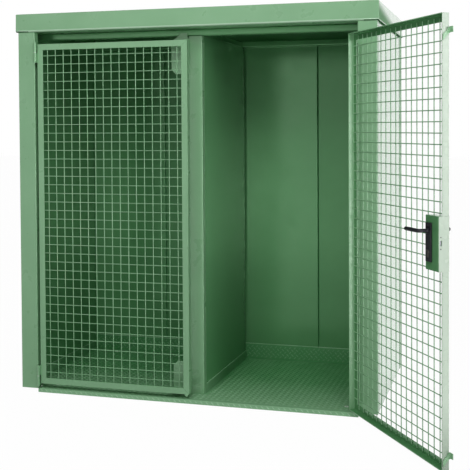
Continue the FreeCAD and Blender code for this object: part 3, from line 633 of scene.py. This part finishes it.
def hinge_halves(node, stand, towards):
    """Barrels, each with its lug and the weld that holds it; towards is 1 on the posts and -1 on a door."""
    shape = bmesh.new()
    for low, high in solids(node, stand.inverted()):
        sense = 1 if low.x > 0 else -1
        axis = Vector((sense * right_axis.x, right_axis.y, low.z))
        turned(shape, axis, high.z - low.z, barrel, bore, barrel_rim)
        outer = axis.x + towards * sense * lug_offset
        inner = outer - towards * sense * lug
        block(
            shape, (min(outer, inner), axis.y + lug_root, low.z + lug_inset),
            (max(outer, inner), high.y, high.z - lug_inset), lug_edge,
        )
        toe = Vector((inner, high.y - weld_inset, 0))
        weld_bead(shape, toe + Z * (low.z + weld_inset), toe + Z * (high.z - weld_inset), weld_radius)
    shape.transform(stand)
    settle(node + "_turned", shape, green_paint, "green_paint", body_of(node), node)


hinge_halves("hinge_post_halves", Matrix(), 1)
hinge_halves("left_hinge_door_halves", Matrix(), -1)
hinge_halves("right_hinge_door_halves", OPEN, -1)


def zinc_plate(name, dark, pale):
    """Zinc plate on turned steel: a cool grey metal, slightly cloudy, with fine turning marks."""
    finish, tree, place = new_finish(name)
    cloud_size = 0.012
    turning = 0.0012  # real turning marks are about 0.2 mm; drawn wider so that they show
    cloud = add_node(tree, "ShaderNodeTexNoise", {"Vector": place, "Scale": 1 / cloud_size, "Detail": 3.0})
    marks = add_node(tree, "ShaderNodeTexWave", {
        "Vector": place, "Scale": 1 / turning / 10, "Distortion": 0.6,
    }, bands_direction="Z")
    tint = add_node(tree, "ShaderNodeMix", {
        0: cloud.outputs["Fac"], 6: linear(dark), 7: linear(pale),
    }, data_type="RGBA")
    gloss = add_node(tree, "ShaderNodeMapRange", {
        "Value": cloud.outputs["Fac"], "From Min": 0.3, "From Max": 0.7, "To Min": 0.28, "To Max": 0.42,
    })
    skin = add_node(tree, "ShaderNodeBump", {
        "Height": marks.outputs["Fac"], "Strength": 0.15, "Distance": 0.0001,
    })
    surface = add_node(tree, "ShaderNodeBsdfPrincipled", {
        "Base Color": tint.outputs[2], "Metallic": 1.0, "Roughness": gloss.outputs["Result"],
        "Normal": skin.outputs["Normal"],
    })
    add_node(tree, "ShaderNodeOutputMaterial", {"Surface": surface.outputs["BSDF"]})
    return finish


# Bright plate, pale grey with a faint bluish cast.
zinc = zinc_plate("zinc_plated_turned_steel", "#a9b0b4", "#c6cac8")
centre_mark = 0.0004
pin_rim = 0.0012
pins = bmesh.new()
for low, high in solids("hinge_pins", Matrix()):
    foot = Vector(((low.x + high.x) / 2, (low.y + high.y) / 2, low.z))
    turned(pins, foot, high.z - low.z, (high.x - low.x) / 2, centre_mark, pin_rim)
settle("hinge_pins_turned", pins, zinc, "zinc_steel", "cabinet", "hinge_pins")
clear = 0.0001
washer_rim = 0.0004
washers = bmesh.new()
for low, high in solids("hinge_washers", Matrix()):
    foot = Vector(((low.x + high.x) / 2, (low.y + high.y) / 2, low.z + clear))
    turned(washers, foot, high.z - low.z - 2 * clear, barrel, bore, washer_rim)
settle("hinge_washers_turned", washers, zinc, "zinc_steel", "cabinet", "hinge_washers")

# Door frames
# Hot-rolled angle, mitred at the corners, welded and ground flush: a sharp heel, round toes and a
# filleted root. One leg lies in the door's face, the other stands into the cabinet.


def paint_shade_behind(piece, square):
    """Give the deeper coat that paints their shade to the faces that look into the cabinet with the door
    shut, or at the mesh from a rail; the toe of the standing leg is left."""
    mid_height, toe = 1.0, 0.002
    piece.data.materials.append(shaded_paint)
    turn = square.to_3x3()
    rear = max((square @ vert.co).y for vert in piece.data.vertices)
    for face in piece.data.polygons:
        facing = turn @ face.normal
        looks_at_mesh = facing.z * (mid_height - face.center.z) > 0.4
        if (facing.y > 0.5 or looks_at_mesh) and (square @ face.center).y < rear - toe:
            face.material_index = 1


# Their faces on the inner side take the deeper coat that paints their shade.
for side in ("left", "right"):
    for member in ("bottom_rail", "top_rail", "hinge_stile", "free_stile"):
        rail = press(f"{side}_door_{member}", 0.0012, 0.004, 0.0007)
        paint_shade_behind(rail, STANDING[side].inverted())

# The edge beside the lock is painted greyer and paler than the rest, and shinier: a painted highlight.
highlight_paint = powder_coat("green_powder_coat_rubbed_at_lock_edge", "#8ca08c", "#92a692", 0.30, 0.22)
free_edge = bpy.data.objects["right_door_free_stile_formed"].data
free_edge.materials.append(highlight_paint)
for face in free_edge.polygons:
    if (SHUT.to_3x3() @ face.normal).x < -0.5:
        face.material_index = 2

# Door mesh
# Drawn wire laid in two layers and resistance welded at every crossing, so that each crossing has a small
# squeezed nugget. The ends are welded to the back of the frame's front legs.

nugget_wide = 0.0028
nugget_deep = 0.0021


def wire(shape, start, end, radius):
    """A length of drawn wire with sheared, slightly rounded ends."""
    along = (end - start).normalized()
    side, other = square_to(along)
    rounding = along * radius * 0.3
    rings = [
        ring(shape, spot, side * (radius * size), other * (radius * size), 12)
        for spot, size in ((start, 0.75), (start + rounding, 1.0), (end - rounding, 1.0), (end, 0.75))
    ]
    bridge(shape, rings)
    shape.faces.new(rings[0][::-1])
    shape.faces.new(rings[-1])


def nugget(shape, middle):
    """A squeezed weld where two wires cross."""
    for vert in bmesh.ops.create_icosphere(shape, subdivisions=1, radius=1.0)["verts"]:
        x, y, z = vert.co
        vert.co = middle + Vector((x * nugget_wide, y * nugget_deep, z * nugget_wide))


for side in ("left", "right"):
    stand = STANDING[side]
    upright_boxes = solids(f"{side}_mesh_uprights", stand.inverted())
    cross_boxes = solids(f"{side}_mesh_cross_wires", stand.inverted())
    uprights = bmesh.new()
    for low, high in upright_boxes:
        middle, half = (low + high) / 2, Z * ((high.z - low.z) / 2)
        wire(uprights, middle - half, middle + half, (high.x - low.x) / 2)
    uprights.transform(stand)
    settle(
        f"{side}_mesh_uprights_drawn", uprights, green_paint, "green_paint", f"{side}_door",
        f"{side}_mesh_uprights",
    )
    crosses = bmesh.new()
    for low, high in cross_boxes:
        middle, half = (low + high) / 2, X * ((high.x - low.x) / 2)
        wire(crosses, middle - half, middle + half, (high.z - low.z) / 2)
        for upright_low, upright_high in upright_boxes:
            x = (upright_low.x + upright_high.x) / 2
            if low.x < x < high.x and upright_low.z < middle.z < upright_high.z:
                nugget(crosses, Vector((x, low.y, middle.z)))
    crosses.transform(stand)
    settle(
        f"{side}_mesh_cross_wires_drawn", crosses, green_paint, "green_paint", f"{side}_door",
        f"{side}_mesh_cross_wires",
    )

# Stop brackets and foot of the left door
# Bent 4 mm plate with cut corners, welded to the door's rails. They rest on the header and the partition
# post, so that the left door can't be pushed in. A small tapered foot hangs under the free corner.

press("left_door_top_stop", burr=0.0006)
press("left_door_bottom_stop", burr=0.0006)
press("left_door_foot", 0.003, 0.001, 0.0006)

# Overlap tabs on the right door
# Bent 4 mm strips of flat steel, one near the top and one near the bottom, welded to the free edge.
# They lap over the left door and hold it shut.

press("overlap_tabs", 0.014, 0.010, 0.0006)

# Lock case, forend and cover plate
# A sheet box welded into a cut-out of the mesh, a forend plate over the door's edge, and a plate that
# closes the outside between the frame and the mesh.

# The case takes the deeper coat that paints the shade on the door's inner side.
press("lock_case", 0.003, 0.001, finish=shaded_paint)
# The forend takes the same paler coat, a painted highlight on the door's edge.
press("lock_forend", 0.001, 0.0005, finish=highlight_paint)
press("lock_cover_plate", 0.001, 0.0005)

# Backplates and levers
# Injection moulded black nylon: long backplates screwed to both sides of the case, and lever handles bent
# towards the hinge, on one square spindle of zinc-plated steel.


def moulded_nylon(name):
    """Glass-filled nylon from a grained mould: near black, a soft sheen, and a fine leathery grain."""
    finish, tree, place = new_finish(name)
    grain_size = 0.0016  # a real mould grain is about 0.5 mm; drawn wider so that it shows
    handling = 0.03
    grain = add_node(tree, "ShaderNodeTexVoronoi", {"Vector": place, "Scale": 1 / grain_size})
    touch = add_node(tree, "ShaderNodeTexNoise", {"Vector": place, "Scale": 1 / handling, "Detail": 3.0})
    tint = add_node(tree, "ShaderNodeMix", {
        0: touch.outputs["Fac"], 6: linear("#141318"), 7: linear("#1f1e25"),
    }, data_type="RGBA")
    gloss = add_node(tree, "ShaderNodeMapRange", {
        "Value": touch.outputs["Fac"], "From Min": 0.3, "From Max": 0.7, "To Min": 0.42, "To Max": 0.56,
    })
    skin = add_node(tree, "ShaderNodeBump", {
        "Height": grain.outputs["Distance"], "Strength": 0.25, "Distance": 0.0002,
    })
    surface = add_node(tree, "ShaderNodeBsdfPrincipled", {
        "Base Color": tint.outputs[2], "Roughness": gloss.outputs["Result"],
        "Normal": skin.outputs["Normal"], "IOR": 1.53, "Specular IOR Level": 0.2,
    })
    add_node(tree, "ShaderNodeOutputMaterial", {"Surface": surface.outputs["BSDF"]})
    return finish


black_nylon = moulded_nylon("black_moulded_nylon")
for face in ("inside", "outside"):
    press(f"{face}_backplate", 0.0022, 0.0005, 0.0005, black_nylon, "black_plastic")

lever_axis = SHUT @ Vector(joints["lever_turn"]["pos_m"])
collar_gap = 0.0005
neck = 0.0085
neck_rise, neck_flat = 0.0003, 0.0006  # how the round neck turns into the grip, round the bend
bend = 0.016
tip = 0.0088
tip_end = 0.08
collar = ((0.0, 0.0112), (0.004, 0.0112), (0.0055, 0.0104), (0.007, neck))  # reach off the plate, radius
grip = ((0.25, 0.0090, 0.0077), (0.6, 0.0092, 0.0076), (0.9, tip, 0.0075))  # share of length, half sizes


def lever(face, plate_face, grip_y, grip_end):
    """Collar, neck, bend and a slightly flattened grip with a rounded end, swept as one moulding."""
    shape = bmesh.new()
    outwards = 1 if grip_y > plate_face else -1
    off_plate = Y * outwards
    start_y = plate_face + outwards * collar_gap
    knee_y = grip_y - outwards * bend
    length = grip_end - lever_axis.x
    stations = []
    for reach, size in collar:
        stations.append((Vector((0, start_y + outwards * reach, 0)), off_plate, size, size))
    stations.append((Vector((0, knee_y, 0)), off_plate, neck, neck))
    for k in range(1, 9):
        turn = math.pi / 2 * k / 8
        spot = Vector((bend - bend * math.cos(turn), knee_y + outwards * bend * math.sin(turn), 0))
        heading = Vector((math.sin(turn), outwards * math.cos(turn), 0))
        stations.append((spot, heading, neck + neck_rise * k / 8, neck - neck_flat * k / 8))
    for share, tall, deep in grip:
        stations.append((Vector((bend + (length - bend) * share, grip_y, 0)), X, tall, deep))
    for k in range(1, 6):
        turn = math.pi / 2 * k / 5
        size = max(math.cos(turn), tip_end)
        spot = Vector((length - tip + tip * math.sin(turn), grip_y, 0))
        stations.append((spot, X, tip * size, grip[-1][2] * size))
    axis = Vector((lever_axis.x, 0, lever_axis.z))
    rings = [
        ring(shape, axis + spot, heading.cross(Z) * deep, Z * tall, 24)
        for spot, heading, tall, deep in stations
    ]
    ends = [shape.faces.new(rings[0]), shape.faces.new(rings[-1])]
    bmesh.ops.recalc_face_normals(shape, faces=ends + bridge(shape, rings))
    shape.transform(OPEN)
    settle(f"{face}_lever_moulded", shape, black_nylon, "black_plastic", "lever", f"{face}_lever")


inside_plate = solids("inside_backplate", SHUT)[0]
outside_plate = solids("outside_backplate", SHUT)[0]
inside_box = solids("inside_lever", SHUT)[0]
outside_box = solids("outside_lever", SHUT)[0]
lever("inside", inside_plate[1].y, inside_box[1].y - neck, inside_box[1].x)
lever("outside", outside_plate[0].y, outside_box[0].y + neck, outside_box[1].x)
press("lever_spindle", 0.0006, 0.0005, 0.0003, zinc, "zinc_steel")

# Lock bolt and screws
# The bolt is a zinc-plated steel bar that slides out behind the left door's leg. Pan-head screws hold the
# backplates, and two flatter heads the forend.

# A dark grey plate with little shine.
grey_zinc = zinc_plate("dull_zinc_plate_on_lock_bolt", "#3f4243", "#4d5051")
press("lock_bolt", 0.0012, 0.0005, 0.0004, grey_zinc, "zinc_steel")


def screw_head(shape, foot, outwards, radius, tall):
    """A domed head with a cross recess."""
    side, other = square_to(outwards)
    steps = 24
    dome = ((0.96, 0.0), (1.0, 0.12), (1.0, 0.35), (0.9, 0.68), (0.72, 0.9), (0.5, 1.0))
    rings = []
    for share, rise in dome:
        size = radius * share
        rings.append(ring(shape, foot + outwards * (tall * rise), side * size, other * size, steps))
    mouth, bottom = outwards * tall * 0.98, outwards * tall * 0.4
    hub, reach, taper = 0.14, 0.3, 0.8
    recess = []
    for k in range(steps):
        turn = 2 * math.pi * k / steps
        arm = abs(math.cos(2 * turn)) ** 3
        spot = (side * math.cos(turn) + other * math.sin(turn)) * (radius * (hub + reach * arm))
        recess.append(shape.verts.new(foot + spot + mouth))
    floor = [shape.verts.new(foot + (vert.co - foot - mouth) * taper + bottom) for vert in recess]
    ends = [shape.faces.new(rings[0]), shape.faces.new(floor)]
    bmesh.ops.recalc_face_normals(shape, faces=ends + bridge(shape, rings + [recess, floor]))


# A black passivated plate: nearly black, with the shine of metal.
black_zinc = zinc_plate("black_passivated_zinc_on_screws", "#2a2b2c", "#3a3b3b")
screws = bmesh.new()
for low, high in solids("lock_screws", SHUT):
    middle = (low + high) / 2
    radius = (high.z - low.z) / 2
    in_forend = high.x - low.x < 2 * radius - 0.001
    if in_forend:
        screw_head(screws, Vector((high.x, middle.y, middle.z)), -X, radius, high.x - low.x)
    elif middle.y > inside_plate[0].y:
        screw_head(screws, Vector((middle.x, low.y, middle.z)), Y, radius, high.y - low.y)
    else:
        screw_head(screws, Vector((middle.x, high.y, middle.z)), -Y, radius, high.y - low.y)
screws.transform(OPEN)
settle("lock_screws_headed", screws, black_zinc, "zinc_steel", "right_door", "lock_screws")

# Key cylinder and plug
# Nickel-plated brass: a profile cylinder through the case and the plug that turns in it, with a key slot
# at both ends.


def nickel_plate(name):
    """Tarnished nickel plate on extruded brass: a warm dark grey metal with a fine brushed unevenness."""
    finish, tree, place = new_finish(name)
    brushing = 0.0015  # real brushing is about 0.1 mm; drawn wider so that it shows
    cloud_size = 0.01
    line = add_node(tree, "ShaderNodeTexNoise", {"Vector": place, "Scale": 1 / brushing, "Detail": 2.0})
    cloud = add_node(tree, "ShaderNodeTexNoise", {"Vector": place, "Scale": 1 / cloud_size, "Detail": 2.0})
    tint = add_node(tree, "ShaderNodeMix", {
        0: cloud.outputs["Fac"], 6: linear("#4c4a45"), 7: linear("#5d5a54"),
    }, data_type="RGBA")
    gloss = add_node(tree, "ShaderNodeMapRange", {
        "Value": line.outputs["Fac"], "From Min": 0.3, "From Max": 0.7, "To Min": 0.38, "To Max": 0.5,
    })
    skin = add_node(tree, "ShaderNodeBump", {
        "Height": line.outputs["Fac"], "Strength": 0.1, "Distance": 0.0001,
    })
    surface = add_node(tree, "ShaderNodeBsdfPrincipled", {
        "Base Color": tint.outputs[2], "Metallic": 1.0, "Roughness": gloss.outputs["Result"],
        "Normal": skin.outputs["Normal"],
    })
    add_node(tree, "ShaderNodeOutputMaterial", {"Surface": surface.outputs["BSDF"]})
    return finish


nickel = nickel_plate("tarnished_nickel_plate_on_brass")
press("key_cylinder", 0.0004, 0.0002, 0.0003, nickel, "nickel_brass")
press("key_plug", 0.0003, 0.0002, 0.0002, nickel, "nickel_brass")

# Studio floor
# A wide floor painted matt white, white to the eye, that keeps a soft shadow under the cabinet.
# In the satin paint its mirror image is brighter at the right front, under the window, and far in front.

ground = bmesh.new()
bmesh.ops.create_grid(ground, x_segments=8, y_segments=8, size=40.0)
ground_mesh = bpy.data.meshes.new("studio_floor")
ground.to_mesh(ground_mesh)
ground.free()
studio_floor = bpy.data.objects.new("studio_floor", ground_mesh)
bpy.context.scene.collection.objects.link(studio_floor)
pale_floor, tree, place = new_finish("matt_white_studio_floor")
roller = add_node(tree, "ShaderNodeTexNoise", {"Vector": place, "Scale": 1.5, "Detail": 2.0})
paint = add_node(tree, "ShaderNodeMix", {
    0: roller.outputs["Fac"], 6: linear("#f7f7f7"), 7: linear("#fcfcfc"),
}, data_type="RGBA")
matt = add_node(tree, "ShaderNodeBsdfDiffuse", {"Color": paint.outputs[2]})
path = add_node(tree, "ShaderNodeLightPath")
across = add_node(tree, "ShaderNodeSeparateXYZ", {"Vector": place})
at_right = add_node(tree, "ShaderNodeMapRange", {
    "Value": across.outputs["X"], "From Min": 1.5, "From Max": 2.4, "To Min": 0.0, "To Max": 8.0,
})
under_window = add_node(tree, "ShaderNodeMapRange", {
    "Value": across.outputs["Y"], "From Min": -0.7, "From Max": -1.5, "To Min": 0.0,
    "To Max": at_right.outputs["Result"],
})
far_in_front = add_node(tree, "ShaderNodeMapRange", {
    "Value": across.outputs["Y"], "From Min": -2.0, "From Max": -6.0, "To Min": 0.0, "To Max": 1.2,
})
at_rear = add_node(tree, "ShaderNodeMapRange", {
    "Value": across.outputs["Y"], "From Min": -1.0, "From Max": 0.5, "To Min": 0.0, "To Max": 0.5,
})
lit_front = add_node(tree, "ShaderNodeMath", {
    0: under_window.outputs["Result"], 1: far_in_front.outputs["Result"],
})
lit = add_node(tree, "ShaderNodeMath", {0: lit_front.outputs["Value"], 1: at_rear.outputs["Result"]})
sheen = add_node(tree, "ShaderNodeMath", {
    0: lit.outputs["Value"], 1: path.outputs["Is Glossy Ray"], 2: 1.0,
}, operation="MULTIPLY_ADD")
white = add_node(tree, "ShaderNodeEmission", {"Color": (1, 1, 1, 1), "Strength": sheen.outputs["Value"]})
seen_floor = add_node(tree, "ShaderNodeMath", {
    0: path.outputs["Is Camera Ray"], 1: path.outputs["Is Glossy Ray"],
}, operation="MAXIMUM")
part_white = add_node(tree, "ShaderNodeMath", {
    0: seen_floor.outputs["Value"], 1: 0.98,
}, operation="MULTIPLY")
floor_look = add_node(tree, "ShaderNodeMixShader", {
    0: part_white.outputs["Value"], 1: matt.outputs["BSDF"], 2: white.outputs["Emission"],
})
add_node(tree, "ShaderNodeOutputMaterial", {"Surface": floor_look.outputs["Shader"]})
ground_mesh.materials.append(pale_floor)

# Studio light
# A white backdrop behind the cabinet, a room that is dim on the left and light on the right, and broad lamps
# on the right and high in front. The satin paint mirrors a pale wall behind the camera and a window.

world = bpy.data.worlds.new("white_studio")
bpy.context.scene.world = world
world.use_nodes = True
tree = world.node_tree
tree.nodes.clear()
path = add_node(tree, "ShaderNodeLightPath")
towards = add_node(tree, "ShaderNodeSeparateXYZ", {
    "Vector": add_node(tree, "ShaderNodeTexCoord").outputs["Generated"],
})
rightward = add_node(tree, "ShaderNodeMapRange", {
    "Value": towards.outputs["X"], "From Min": -1.0, "From Max": 1.0,
})
dim_room = add_node(tree, "ShaderNodeMath", {
    0: rightward.outputs["Result"], 1: 0.41, 2: 0.05,
}, operation="MULTIPLY_ADD")
window_side = add_node(tree, "ShaderNodeMapRange", {
    "Value": towards.outputs["X"], "From Min": 0.7, "From Max": 0.95, "To Min": 0.0, "To Max": 12.0,
})
window = add_node(tree, "ShaderNodeMapRange", {
    "Value": towards.outputs["Y"], "From Min": -0.1, "From Max": -0.3, "To Min": 0.0,
    "To Max": window_side.outputs["Result"],
})
wall_side = add_node(tree, "ShaderNodeMapRange", {
    "Value": towards.outputs["X"], "From Min": 0.0, "From Max": -0.25, "To Min": 0.9, "To Max": 2.0,
})
front_wall = add_node(tree, "ShaderNodeMapRange", {
    "Value": towards.outputs["Y"], "From Min": -0.6, "From Max": -0.85, "To Min": 0.0,
    "To Max": wall_side.outputs["Result"],
})
mirrored_room = add_node(tree, "ShaderNodeMath", {
    0: window.outputs["Result"], 1: front_wall.outputs["Result"],
})
room_level = add_node(tree, "ShaderNodeMath", {
    0: mirrored_room.outputs["Value"], 1: path.outputs["Is Glossy Ray"], 2: dim_room.outputs["Value"],
}, operation="MULTIPLY_ADD")
room = add_node(tree, "ShaderNodeBackground", {
    "Color": (1, 1, 1, 1), "Strength": room_level.outputs["Value"],
})
behind = add_node(tree, "ShaderNodeMapRange", {
    "Value": towards.outputs["Y"], "From Min": 0.6, "From Max": 0.85,
})
mirrored_backdrop = add_node(tree, "ShaderNodeMath", {
    0: path.outputs["Is Glossy Ray"], 1: behind.outputs["Result"],
}, operation="MULTIPLY")
seen_directly = add_node(tree, "ShaderNodeMath", {
    0: path.outputs["Is Camera Ray"], 1: path.outputs["Is Transmission Ray"],
}, operation="MAXIMUM")
seen_backdrop = add_node(tree, "ShaderNodeMath", {
    0: seen_directly.outputs["Value"], 1: mirrored_backdrop.outputs["Value"],
}, operation="MAXIMUM")
backdrop_level = add_node(tree, "ShaderNodeMath", {
    0: path.outputs["Is Glossy Ray"], 1: 0.5, 2: 1.0,
}, operation="MULTIPLY_ADD")
backdrop = add_node(tree, "ShaderNodeBackground", {
    "Color": (1, 1, 1, 1), "Strength": backdrop_level.outputs["Value"],
})
studio = add_node(tree, "ShaderNodeMixShader", {
    0: seen_backdrop.outputs["Value"], 1: room.outputs["Background"], 2: backdrop.outputs["Background"],
})
add_node(tree, "ShaderNodeOutputWorld", {"Surface": studio.outputs["Shader"]})


def soft_lamp(name, spot, aim, wide, tall, watts):
    """A broad rectangular lamp, turned to what it lights."""
    light = bpy.data.lights.new(name, "AREA")
    light.shape = "RECTANGLE"
    light.size = wide
    light.size_y = tall
    light.energy = watts
    lamp = bpy.data.objects.new(name, light)
    bpy.context.scene.collection.objects.link(lamp)
    lamp.location = spot
    lamp.rotation_euler = (Vector(aim) - Vector(spot)).to_track_quat("-Z", "Y").to_euler()


soft_lamp("window_lamp_right", (9.0, -3.6, 2.2), (0.6, -0.5, 1.0), 3.0, 3.6, 110)
soft_lamp("high_lamp_front", (0.8, -4.4, 5.2), (0.1, 0.0, 0.8), 4.6, 2.8, 185)

# Camera
# Stands in front and to the right at chest height, as the photograph was taken. Its place, turns (in
# radians), lens and shift come from the lines of the body, the doors and the mesh in the photograph.

eye = Vector((1.7516, -5.2078, 1.5493))
turned_left = 0.2620
tipped_down = 0.0245
leaned = -0.0047
forward = Vector((
    -math.sin(turned_left) * math.cos(tipped_down), math.cos(turned_left) * math.cos(tipped_down),
    -math.sin(tipped_down),
))
level = Vector((math.cos(turned_left), math.sin(turned_left), 0))
upward = level.cross(forward)
right = level * math.cos(leaned) + upward * math.sin(leaned)
top = upward * math.cos(leaned) - level * math.sin(leaned)
lens = bpy.data.cameras.new("camera")
lens.sensor_width = 36
lens.lens = 68.86
lens.shift_x = -0.0823
lens.shift_y = -0.1828
camera = bpy.data.objects.new("camera", lens)
camera.matrix_world = Matrix((
    (right.x, top.x, -forward.x, eye.x),
    (right.y, top.y, -forward.y, eye.y),
    (right.z, top.z, -forward.z, eye.z),
    (0, 0, 0, 1),
))
bpy.context.scene.collection.objects.link(camera)
bpy.context.scene.camera = camera
bpy.context.scene.view_settings.view_transform = "Standard"
